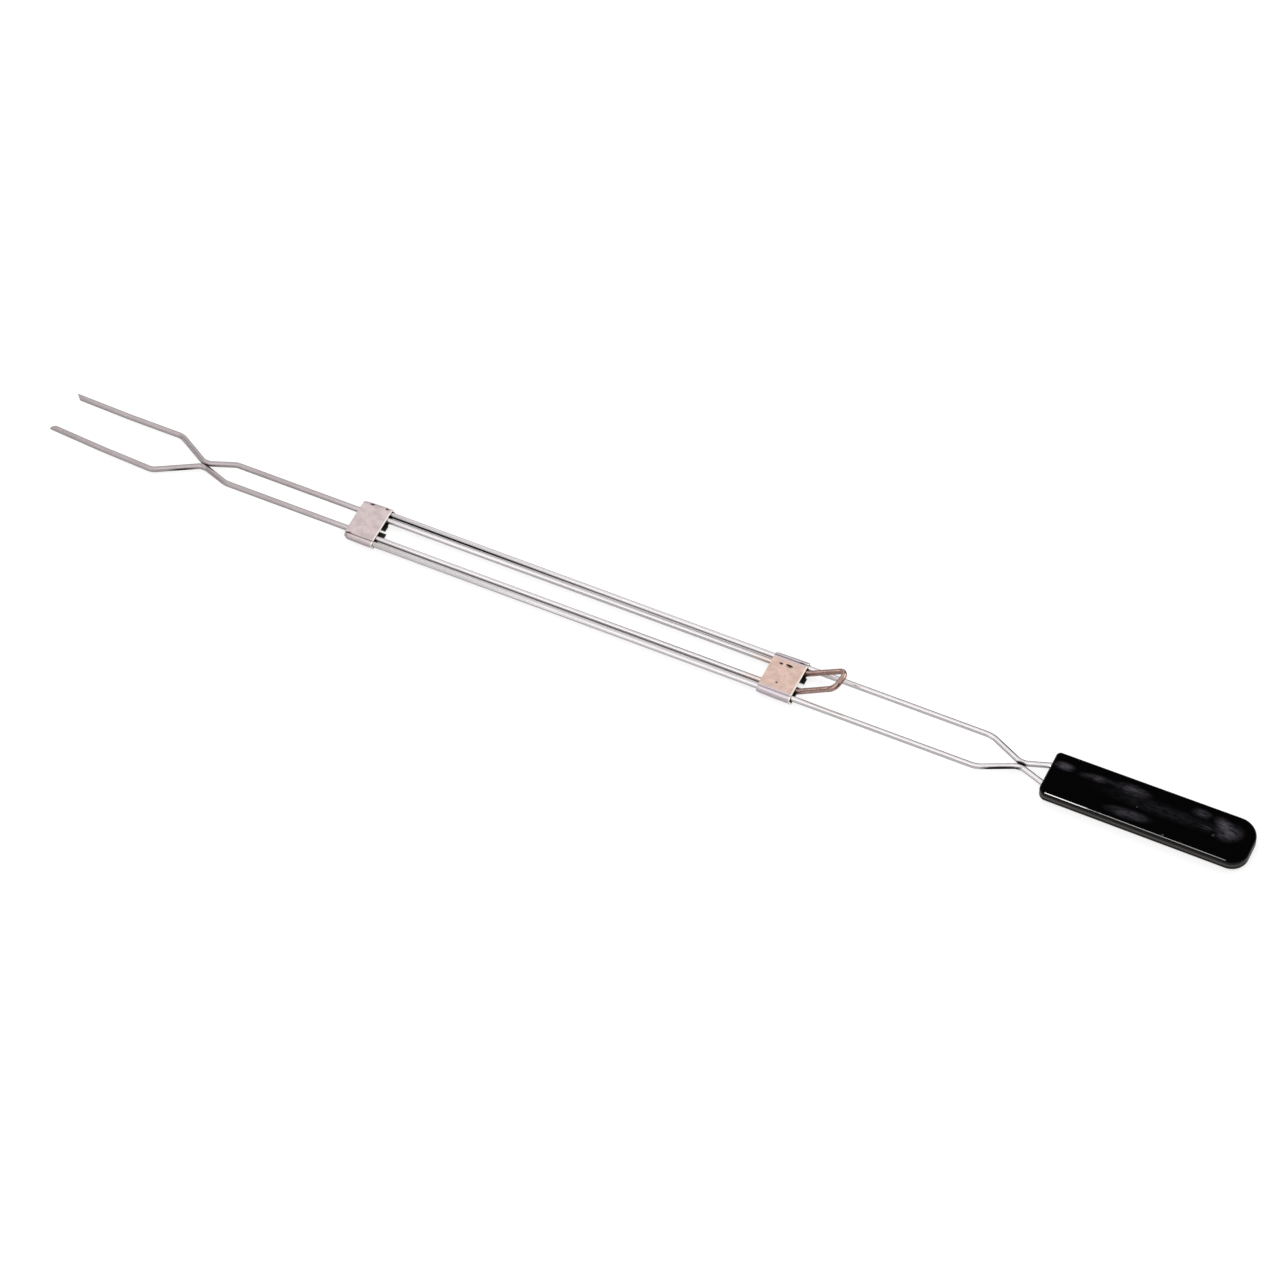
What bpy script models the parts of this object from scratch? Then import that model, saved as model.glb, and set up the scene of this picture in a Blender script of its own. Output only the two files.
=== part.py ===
"""An extending roasting fork with two tines.

Two wire rods bent into a fork slide between two wire rails that run forward from a flat black
grip. A folded clip is crimped on the front ends of the rails and guides the rods, and a second
one is crimped on the rear ends of the rods, slides on the rails and holds a thumb loop.

+X points from the tines to the rear of the grip, +Y to the right of someone who holds the grip
and +Z up. The origin is at the middle of the underside. Lengths are in metres.
"""

import math

import bmesh
import bpy
from mathutils import Matrix, Quaternion, Vector

# Driving dimensions.
TOTAL_LENGTH = 0.7044
WIRE_RADIUS = 0.0016
RAIL_OFFSET = 0.0111
ROD_OFFSET = 0.0070
GRIP_LENGTH = 0.1160
GRIP_FRONT_WIDTH = 0.0292
GRIP_REAR_WIDTH = 0.0304
GRIP_THICKNESS = 0.0080
GRIP_EDGE_RADIUS = 0.0022
SHEET = 0.0007

# Gaps between pieces.
WELD_GAP = 0.0003
PARTING_GAP = 0.0003
CHANNEL_GAP = 0.0003
BUTT_GAP = 0.0006

# Places along the length.
GRIP_REAR_X = TOTAL_LENGTH / 2
GRIP_FRONT_X = GRIP_REAR_X - GRIP_LENGTH
FRONT_CLIP_X = (-0.1719, -0.1549)
REAR_CLIP_X = (0.0742, 0.0936)
ROD_END_X = 0.0819
PLANE_Z = GRIP_THICKNESS / 2
WAIST_OFFSET = WIRE_RADIUS + WELD_GAP / 2

# Clips: a flattened tube with full-round lobes round the rails and an open seam below.
CLIP_HALF_WIDTH = 0.0137
CLIP_HALF_HEIGHT = 0.0025
FRONT_CLIP_SEAM = 0.0020
REAR_CLIP_SEAM = 0.0032

# Tines: each is (tip x, bend x). The right one bends a little nearer the waist.
TINE_X = {1: (-0.3499, -0.2835), -1: (-TOTAL_LENGTH / 2, -0.2891)}
TINE_TIP_OFFSET = 0.0126
TINE_BEND_OFFSET = 0.0140
TINE_TIP_RISE = 0.0010
TINE_MID_DROP = 0.0012
TINE_BEND_DROP = 0.0022
WAIST_DROP = 0.0005

# Thumb loop: it stands up and back from the rear clip, a little to the right of the middle.
LOOP_MIDDLE_Y = 0.0006
LOOP_OFFSET = 0.0066
LOOP_BEND_X = 0.0941
LOOP_RISE = 0.673
LOOP_END_X = {1: 0.1181, -1: 0.1160}

# Grip details. The corners on its left side are rounded unlike those on its right.
GRIP_FRONT_CORNER = {1: 0.0026, -1: 0.0046}
GRIP_REAR_CORNER = {1: 0.0118, -1: 0.0096}
PEG_RADIUS = 0.0015
PEG_HEIGHT = 0.0018
PEG_X = (0.2567, 0.3107)
PIN_RADIUS = 0.0009
PIN_AT = (0.3307, -0.0026)
PIN_END_DEPTH = 0.0002

# Mesh fineness.
ARC_STEP = math.radians(16)
WIRE_BEVEL_RESOLUTION = 4
LOBE_STEPS = 8
ROUND_SIDES = 16
EDGE_SEGMENTS = 3

FINISHES = {
    "chrome_wire": {"color": (0.62, 0.60, 0.60), "metallic": 1.0, "roughness": 0.22},
    "clip_plating": {"color": (0.66, 0.56, 0.53), "metallic": 1.0, "roughness": 0.34},
    "copper_wire": {"color": (0.44, 0.27, 0.22), "metallic": 1.0, "roughness": 0.30},
    "black_plastic": {"color": (0.006, 0.006, 0.007), "metallic": 0.0, "roughness": 0.12},
    "pin_steel": {"color": (0.60, 0.60, 0.62), "metallic": 1.0, "roughness": 0.30},
}


def clear_scene():
    for obj in list(bpy.data.objects):
        bpy.data.objects.remove(obj)


def new_collection(name):
    collection = bpy.data.collections.new(name)
    bpy.context.scene.collection.children.link(collection)
    return collection


def new_material(name):
    """The finish of this name as a material."""
    finish = FINISHES[name]
    material = bpy.data.materials.get(name) or bpy.data.materials.new(name)
    material.use_nodes = True
    shader = material.node_tree.nodes["Principled BSDF"]
    shader.inputs["Base Color"].default_value = (*finish["color"], 1.0)
    shader.inputs["Metallic"].default_value = finish["metallic"]
    shader.inputs["Roughness"].default_value = finish["roughness"]
    return material


def add_object(name, data, finish):
    obj = bpy.data.objects.new(name, data)
    PARTS.objects.link(obj)
    data.materials.append(new_material(finish))
    return obj


def add_cutter(name, mesh):
    obj = bpy.data.objects.new(name, mesh)
    CUTTERS.objects.link(obj)
    obj.hide_render = True
    obj.display_type = "WIRE"
    return obj


def shade(mesh):
    """Smooth shading, with creases sharper than 40 degrees kept."""
    mesh.shade_smooth()
    mesh.set_sharp_from_angle(angle=math.radians(40))


def boolean(obj, operation, other):
    modifier = obj.modifiers.new(f"{operation.lower()}_{other.name}", "BOOLEAN")
    modifier.operation = operation
    modifier.object = other
    modifier.solver = "EXACT"


def arc(before, corner, after, radius):
    """Points of the arc that rounds this corner between its two neighbours."""
    into = (corner - before).normalized()
    out = (after - corner).normalized()
    turn = into.angle(out)
    axis = into.cross(out).normalized()
    start = corner - into * radius * math.tan(turn / 2)
    centre = start + axis.cross(into) * radius
    steps = max(2, math.ceil(turn / ARC_STEP))
    return [
        centre + Quaternion(axis, turn * i / steps) @ (start - centre)
        for i in range(steps + 1)
    ]


def bent_path(corners):
    """Centreline of a bent wire. Each corner is (x, y, z, bend radius)."""
    places = [Vector(corner[:3]) for corner in corners]
    points = [places[0]]
    for i in range(1, len(corners) - 1):
        points += arc(*places[i - 1 : i + 2], corners[i][3])
    return points + [places[-1]]


def rounded_outline(corners):
    """Closed flat outline. Each corner is (x, y, corner radius)."""
    places = [Vector((x, y, 0.0)) for x, y, _ in corners]
    count = len(corners)
    points = []
    for i in range(count):
        neighbours = (places[i - 1], places[i], places[(i + 1) % count])
        points += arc(*neighbours, corners[i][2])
    return points


def wire_curve(name, points, radius):
    """The wire as a curve, with its centreline through these points."""
    curve = bpy.data.curves.new(name, "CURVE")
    curve.dimensions = "3D"
    curve.bevel_depth = radius
    curve.bevel_resolution = WIRE_BEVEL_RESOLUTION
    curve.use_fill_caps = True
    spline = curve.splines.new("POLY")
    spline.points.add(len(points) - 1)
    for point, place in zip(spline.points, points):
        point.co = (*place, 1.0)
    return curve


def wire_mesh(name, points, radius):
    """The wire as a mesh with its caps joined on."""
    curve = wire_curve(name, points, radius)
    holder = bpy.data.objects.new(name + "_curve", curve)
    bpy.context.scene.collection.objects.link(holder)
    graph = bpy.context.evaluated_depsgraph_get()
    mesh = bpy.data.meshes.new_from_object(holder.evaluated_get(graph))
    mesh.transform(holder.matrix_world)
    bpy.data.objects.remove(holder)
    bm = bmesh.new()
    bm.from_mesh(mesh)
    bmesh.ops.remove_doubles(bm, verts=bm.verts, dist=1e-6)
    bm.to_mesh(mesh)
    bm.free()
    mesh.name = name
    mesh.materials.clear()
    return mesh


def cylinder_mesh(name, radius, x, y, low, high):
    """Upright cylinder at x, y between two heights."""
    bm = bmesh.new()
    bmesh.ops.create_cone(
        bm,
        cap_ends=True,
        segments=ROUND_SIDES,
        radius1=radius,
        radius2=radius,
        depth=high - low,
        matrix=Matrix.Translation((x, y, (low + high) / 2)),
    )
    mesh = bpy.data.meshes.new(name)
    bm.to_mesh(mesh)
    bm.free()
    return mesh


def fork_rod_corners(side):
    """Corners of one rod of the fork, from its tine's tip to its end in the rear clip."""
    tip_x, bend_x = TINE_X[side]
    tip = (tip_x, side * TINE_TIP_OFFSET, PLANE_Z + TINE_TIP_RISE)
    middle_y = side * (TINE_TIP_OFFSET + TINE_BEND_OFFSET) / 2
    middle = ((tip_x + bend_x) / 2, middle_y, PLANE_Z - TINE_MID_DROP)
    waist_z = PLANE_Z - WAIST_DROP
    return [
        (*tip, 0.0),
        (*middle, 0.100),
        (bend_x, side * TINE_BEND_OFFSET, PLANE_Z - TINE_BEND_DROP, 0.006),
        (-0.2653, side * WAIST_OFFSET, waist_z, 0.004),
        (-0.2615, side * WAIST_OFFSET, waist_z, 0.006),
        (-0.2473, side * ROD_OFFSET, PLANE_Z, 0.010),
        (ROD_END_X, side * ROD_OFFSET, PLANE_Z, 0.0),
    ]


def rail_corners(side):
    """Corners of one rail, from its end in the front clip to its hook inside the grip."""
    return [
        (FRONT_CLIP_X[0] + 0.0015, side * RAIL_OFFSET, PLANE_Z, 0.0),
        (0.2001, side * RAIL_OFFSET, PLANE_Z, 0.014),
        (0.2195, side * WAIST_OFFSET, PLANE_Z, 0.008),
        (0.2233, side * WAIST_OFFSET, PLANE_Z, 0.006),
        (0.2433, side * 0.0088, PLANE_Z, 0.010),
        (0.2677, side * 0.0088, PLANE_Z, 0.003),
        (0.2709, side * 0.0120, PLANE_Z, 0.0),
    ]


def add_fork_rod(name, side):
    """One fork rod. Its tine ends in a chisel cut at 45 degrees with the point outside."""
    mesh = wire_mesh(name, bent_path(fork_rod_corners(side)), WIRE_RADIUS)
    rod = add_object(name, mesh, "chrome_wire")
    shade(mesh)
    cut_size = 0.012
    across = Vector((-1.0, -side, 0.0)).normalized()
    point = Vector(fork_rod_corners(side)[0][:3]) + Vector((0.0, side * WIRE_RADIUS, 0.0))
    bm = bmesh.new()
    place = Matrix.Translation(point + across * cut_size / 2)
    turn = Matrix.Rotation(math.radians(45) * side, 4, "Z")
    bmesh.ops.create_cube(bm, size=cut_size, matrix=place @ turn)
    cutter_mesh = bpy.data.meshes.new(name + "_tip_cut")
    bm.to_mesh(cutter_mesh)
    bm.free()
    boolean(rod, "DIFFERENCE", add_cutter(name + "_tip_cut", cutter_mesh))
    return rod


def add_rail(name, side):
    mesh = wire_mesh(name, bent_path(rail_corners(side)), WIRE_RADIUS)
    rail = add_object(name, mesh, "chrome_wire")
    shade(mesh)
    return rail


def loop_leg_corners(side):
    """Corners of one leg of the thumb loop, from its end inside the rear clip to its top."""
    leg_y = LOOP_MIDDLE_Y + side * LOOP_OFFSET
    top_x = LOOP_END_X[side]
    return [
        (ROD_END_X + BUTT_GAP, leg_y, PLANE_Z, 0.0),
        (LOOP_BEND_X, leg_y, PLANE_Z, 0.003),
        (top_x, leg_y - side * 0.0002, PLANE_Z + LOOP_RISE * (top_x - LOOP_BEND_X), 0.0045),
    ]


def add_thumb_loop(name):
    corners = loop_leg_corners(1) + loop_leg_corners(-1)[::-1]
    mesh = wire_mesh(name, bent_path(corners), WIRE_RADIUS)
    loop = add_object(name, mesh, "copper_wire")
    shade(mesh)
    return loop


def clip_section(seam):
    """Outline (y, z) of a clip's outer face, from one lip of the seam round to the other."""
    middle_y = CLIP_HALF_WIDTH - CLIP_HALF_HEIGHT
    section = [(seam / 2, -CLIP_HALF_HEIGHT)]
    for side in (1, -1):
        for i in range(LOBE_STEPS + 1):
            angle = side * (math.pi * i / LOBE_STEPS - math.pi / 2)
            y = side * middle_y + CLIP_HALF_HEIGHT * math.cos(angle) * side
            section.append((y, CLIP_HALF_HEIGHT * math.sin(angle)))
    return section + [(-seam / 2, -CLIP_HALF_HEIGHT)]


def add_clip(name, ends, seam):
    """Sheet-metal clip: its section drawn along the wires, then given the sheet's thickness."""
    bm = bmesh.new()
    rings = [
        [bm.verts.new((x, y, PLANE_Z + z)) for y, z in clip_section(seam)] for x in ends
    ]
    for i in range(len(rings[0]) - 1):
        bm.faces.new((rings[0][i], rings[0][i + 1], rings[1][i + 1], rings[1][i]))
    bmesh.ops.recalc_face_normals(bm, faces=bm.faces)
    mesh = bpy.data.meshes.new(name)
    bm.to_mesh(mesh)
    bm.free()
    clip = add_object(name, mesh, "clip_plating")
    shade(mesh)
    solidify = clip.modifiers.new("sheet", "SOLIDIFY")
    solidify.thickness = SHEET
    solidify.offset = -1.0
    solidify.use_even_offset = True
    return clip


def grip_outline():
    front = GRIP_FRONT_WIDTH / 2
    rear = GRIP_REAR_WIDTH / 2
    return rounded_outline(
        [
            (GRIP_FRONT_X, -front, GRIP_FRONT_CORNER[-1]),
            (GRIP_REAR_X, -rear, GRIP_REAR_CORNER[-1]),
            (GRIP_REAR_X, rear, GRIP_REAR_CORNER[1]),
            (GRIP_FRONT_X, front, GRIP_FRONT_CORNER[1]),
        ]
    )


def add_grip_scale(name, inner_z, outer_z):
    """Half of the grip, flat at the parting plane and rounded along its outer edge."""
    bm = bmesh.new()
    low, high = sorted((inner_z, outer_z))
    base = bm.faces.new([bm.verts.new((p.x, p.y, low)) for p in grip_outline()])
    raised = bmesh.ops.extrude_face_region(bm, geom=[base])["geom"]
    moved = [item for item in raised if isinstance(item, bmesh.types.BMVert)]
    bmesh.ops.translate(bm, verts=moved, vec=(0.0, 0.0, high - low))
    bmesh.ops.recalc_face_normals(bm, faces=bm.faces)
    weight = bm.edges.layers.float.new("bevel_weight_edge")
    for edge in bm.edges:
        if all(abs(vert.co.z - outer_z) < 1e-6 for vert in edge.verts):
            edge[weight] = 1.0
    mesh = bpy.data.meshes.new(name)
    bm.to_mesh(mesh)
    bm.free()
    scale = add_object(name, mesh, "black_plastic")
    shade(mesh)
    bevel = scale.modifiers.new("outer_edge", "BEVEL")
    bevel.limit_method = "WEIGHT"
    bevel.width = GRIP_EDGE_RADIUS
    bevel.segments = EDGE_SEGMENTS
    return scale


def add_grip():
    """Both halves of the grip, with channels for the rails, locating pegs and the pin."""
    lower = add_grip_scale("grip_lower_scale", PLANE_Z - PARTING_GAP / 2, 0.0)
    upper = add_grip_scale("grip_upper_scale", PLANE_Z + PARTING_GAP / 2, GRIP_THICKNESS)
    for side_name, side in SIDES.items():
        corners = rail_corners(side)[3:]
        points = bent_path(corners)
        last = (points[-1] - points[-2]).normalized()
        points[-1] = points[-1] + last * CHANNEL_GAP
        name = f"rail_channel_{side_name}"
        channel = add_cutter(name, wire_mesh(name, points, WIRE_RADIUS + CHANNEL_GAP))
        boolean(lower, "DIFFERENCE", channel)
        boolean(upper, "DIFFERENCE", channel)
    for i, x in enumerate(PEG_X):
        top = PLANE_Z + PARTING_GAP / 2 + PEG_HEIGHT
        peg = cylinder_mesh(f"peg_{i}", PEG_RADIUS, x, 0.0, PLANE_Z - PEG_HEIGHT, top)
        boolean(lower, "UNION", add_cutter(f"peg_{i}", peg))
        socket = cylinder_mesh(
            f"socket_{i}",
            PEG_RADIUS + CHANNEL_GAP,
            x,
            0.0,
            PLANE_Z - PARTING_GAP,
            top + CHANNEL_GAP,
        )
        boolean(upper, "DIFFERENCE", add_cutter(f"socket_{i}", socket))
    hole = cylinder_mesh(
        "pin_hole", PIN_RADIUS + CHANNEL_GAP, *PIN_AT, -0.001, GRIP_THICKNESS + 0.001
    )
    hole_cutter = add_cutter("pin_hole", hole)
    boolean(lower, "DIFFERENCE", hole_cutter)
    boolean(upper, "DIFFERENCE", hole_cutter)
    pin = cylinder_mesh(
        "grip_pin", PIN_RADIUS, *PIN_AT, PIN_END_DEPTH, GRIP_THICKNESS - PIN_END_DEPTH
    )
    shade(pin)
    return [lower, upper, add_object("grip_pin", pin, "pin_steel")]


def add_body(name, members, x):
    """An empty on the slide axis that carries the members."""
    empty = bpy.data.objects.new(name, None)
    PARTS.objects.link(empty)
    empty.location = (x, 0.0, PLANE_Z)
    bpy.context.view_layer.update()
    for obj in members:
        obj.parent = empty
        obj.matrix_parent_inverse = empty.matrix_world.inverted()


SIDES = {"right": 1, "left": -1}
clear_scene()
PARTS = new_collection("roasting_fork")
CUTTERS = new_collection("cutters")

fork = [add_fork_rod(f"fork_rod_{name}", side) for name, side in SIDES.items()]
fork.append(add_clip("rear_clip", REAR_CLIP_X, REAR_CLIP_SEAM))
fork.append(add_thumb_loop("thumb_loop"))
handle = [add_rail(f"handle_rail_{name}", side) for name, side in SIDES.items()]
handle.append(add_clip("front_clip", FRONT_CLIP_X, FRONT_CLIP_SEAM))
handle += add_grip()

add_body("handle_body", handle, GRIP_FRONT_X)
add_body("fork_body", fork, REAR_CLIP_X[0])
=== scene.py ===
"""Looks of an extending roasting fork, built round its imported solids.

The wires, clips, thumb loop and grip are remade here with fine meshes in the places that the
solids hold, each with its own finish. The studio is a pale table inside a tent of soft panels, in a
dim room.

The frame is the solids' own: +X to the rear of the grip, +Y to the right, +Z up, in metres.
"""

import math

import bmesh
import bpy
from mathutils import Matrix, Quaternion, Vector


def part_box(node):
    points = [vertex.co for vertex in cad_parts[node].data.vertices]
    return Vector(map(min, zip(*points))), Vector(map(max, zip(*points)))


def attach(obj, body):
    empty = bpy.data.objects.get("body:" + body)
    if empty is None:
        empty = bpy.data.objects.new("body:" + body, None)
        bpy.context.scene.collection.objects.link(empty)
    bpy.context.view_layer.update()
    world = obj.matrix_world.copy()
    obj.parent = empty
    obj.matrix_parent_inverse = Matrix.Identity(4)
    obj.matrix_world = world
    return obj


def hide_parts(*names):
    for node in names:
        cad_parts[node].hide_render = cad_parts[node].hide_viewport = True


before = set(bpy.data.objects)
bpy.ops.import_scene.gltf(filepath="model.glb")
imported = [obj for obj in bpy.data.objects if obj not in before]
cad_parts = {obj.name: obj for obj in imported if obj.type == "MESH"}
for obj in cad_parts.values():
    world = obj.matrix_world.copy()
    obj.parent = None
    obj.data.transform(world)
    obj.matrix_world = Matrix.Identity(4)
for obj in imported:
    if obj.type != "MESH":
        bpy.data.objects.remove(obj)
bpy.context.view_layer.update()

# ---------------------------------------------------------------------------------------------
# Sizes and places, read from the solids or worked out from the driving dimensions
# ---------------------------------------------------------------------------------------------

SIDES = {"right": 1, "left": -1}

RAIL_LOW, RAIL_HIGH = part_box("handle_rail_right")
FRONT_CLIP_LOW, FRONT_CLIP_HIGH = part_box("front_clip")
REAR_CLIP_LOW, REAR_CLIP_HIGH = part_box("rear_clip")
GRIP_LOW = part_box("grip_lower_scale")[0]
GRIP_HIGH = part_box("grip_upper_scale")[1]
PIN_LOW, PIN_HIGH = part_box("grip_pin")
TINE_TIP_X = {side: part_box(f"fork_rod_{name}")[0].x for name, side in SIDES.items()}

WIRE_RADIUS = (RAIL_HIGH.z - RAIL_LOW.z) / 2
PLANE_Z = (RAIL_HIGH.z + RAIL_LOW.z) / 2
RAIL_OFFSET = 0.0111
ROD_OFFSET = 0.0070
WELD_GAP = 0.0003
WAIST_OFFSET = WIRE_RADIUS + WELD_GAP / 2
ROD_END_X = 0.0819
BUTT_GAP = 0.0006

TINE_BEND_X = {1: -0.2848, -1: -0.2891}
FORK_WAIST_X = (-0.2653, -0.2615)
FORK_SPREAD_X = -0.2473
TINE_TIP_OFFSET = 0.0126
TINE_BEND_OFFSET = 0.0140
TINE_TIP_RISE = 0.0010
TINE_MID_DROP = 0.0012
TINE_BEND_DROP = 0.0022
TINE_BOW_RADIUS = 0.100
TINE_BEND_RADIUS = 0.008
TIP_CUT_SIZE = 0.012
TIP_EDGE = 0.00012
WIRE_EDGE = 0.00025
PIN_EDGE = 0.0003
WAIST_DROP = 0.0005

RAIL_START = 0.0015
RAIL_BEND_X = 0.2001
RAIL_WAIST_X = (0.2195, 0.2233)
RAIL_IN_GRIP_X = (0.2433, 0.2677)
RAIL_IN_GRIP_OFFSET = 0.0088
RAIL_HOOK_END = (0.2709, 0.0120)

LOOP_MIDDLE_Y = 0.0006
LOOP_OFFSET = 0.0066
LOOP_BEND_X = 0.0941
LOOP_RISE = 0.673
LOOP_END_X = {1: 0.1181, -1: 0.1160}

SHEET = 0.0007
FRONT_CLIP_SEAM = 0.0016
REAR_CLIP_SEAM = 0.0032

GRIP_FRONT_WIDTH = 0.0292
GRIP_FRONT_CORNER = {1: 0.0026, -1: 0.0046}
GRIP_REAR_CORNER = {1: 0.0118, -1: 0.0096}
GRIP_EDGE_RADIUS = 0.0022
PARTING_WIDTH = 0.00012
CHANNEL_GAP = 0.0003
CHANNEL_CLEARANCE = 0.0001
PIN_CLEARANCE = 0.00008
CUT_PAST = 0.001

ARC_STEP = math.radians(4)
WIRE_BEVEL_RESOLUTION = 14
CYLINDER_SIDES = 48


# ---------------------------------------------------------------------------------------------
# Shapes
# ---------------------------------------------------------------------------------------------


def arc(before, corner, after, radius):
    """Points of the arc that rounds this corner between its two neighbours."""
    into = (corner - before).normalized()
    out = (after - corner).normalized()
    turn = into.angle(out)
    axis = into.cross(out).normalized()
    start = corner - into * radius * math.tan(turn / 2)
    centre = start + axis.cross(into) * radius
    steps = max(3, math.ceil(turn / ARC_STEP))
    return [
        centre + Quaternion(axis, turn * i / steps) @ (start - centre)
        for i in range(steps + 1)
    ]


def bent_path(corners):
    """Centreline of a bent wire. Each corner is (x, y, z, bend radius)."""
    places = [Vector(corner[:3]) for corner in corners]
    points = [places[0]]
    for i in range(1, len(corners) - 1):
        points += arc(*places[i - 1 : i + 2], corners[i][3])
    return points + [places[-1]]


def add_mesh(name, bm, material):
    """The bmesh as an object with this material, or these."""
    mesh = bpy.data.meshes.new(name)
    bm.to_mesh(mesh)
    bm.free()
    obj = bpy.data.objects.new(name, mesh)
    bpy.context.scene.collection.objects.link(obj)
    for each in material if isinstance(material, list) else [material]:
        mesh.materials.append(each)
    return obj


def shade(obj, degrees=35):
    """Smooth shading, with creases sharper than this kept."""
    obj.data.shade_smooth()
    obj.data.set_sharp_from_angle(angle=math.radians(degrees))


def add_cutter(name, bm):
    """The bmesh as a hidden object that cuts another."""
    obj = add_mesh(name, bm, [])
    obj.hide_render = True
    obj.hide_viewport = True
    return obj


def cut(obj, cutter):
    """Takes the cutter's shape out of the object, once its modifiers are applied."""
    modifier = obj.modifiers.new(f"cut_{cutter.name}", "BOOLEAN")
    modifier.operation = "DIFFERENCE"
    modifier.object = cutter
    modifier.solver = "EXACT"


def apply_modifiers(obj):
    """Puts the modifiers' result in the mesh, and removes the cutters that they used."""
    graph = bpy.context.evaluated_depsgraph_get()
    mesh = bpy.data.meshes.new_from_object(obj.evaluated_get(graph))
    cutters = [m.object for m in obj.modifiers if m.type == "BOOLEAN"]
    obj.modifiers.clear()
    obj.data = mesh
    for cutter in cutters:
        bpy.data.objects.remove(cutter)


def wire_bmesh(points, radius):
    """A round wire along these points, closed at both ends."""
    curve = bpy.data.curves.new("wire", "CURVE")
    curve.dimensions = "3D"
    curve.bevel_depth = radius
    curve.bevel_resolution = WIRE_BEVEL_RESOLUTION
    curve.use_fill_caps = True
    spline = curve.splines.new("POLY")
    spline.points.add(len(points) - 1)
    for point, place in zip(spline.points, points):
        point.co = (*place, 1.0)
    holder = bpy.data.objects.new("wire", curve)
    bpy.context.scene.collection.objects.link(holder)
    graph = bpy.context.evaluated_depsgraph_get()
    mesh = bpy.data.meshes.new_from_object(holder.evaluated_get(graph))
    bpy.data.objects.remove(holder)
    bm = bmesh.new()
    bm.from_mesh(mesh)
    bmesh.ops.remove_doubles(bm, verts=bm.verts, dist=1e-6)
    bpy.data.meshes.remove(mesh)
    return bm


def cylinder_bmesh(radius, x, y, low, high):
    """An upright cylinder between two heights."""
    bm = bmesh.new()
    bmesh.ops.create_cone(
        bm,
        cap_ends=True,
        segments=CYLINDER_SIDES,
        radius1=radius,
        radius2=radius,
        depth=high - low,
        matrix=Matrix.Translation((x, y, (low + high) / 2)),
    )
    return bm


# ---------------------------------------------------------------------------------------------
# Finishes
# ---------------------------------------------------------------------------------------------


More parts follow.
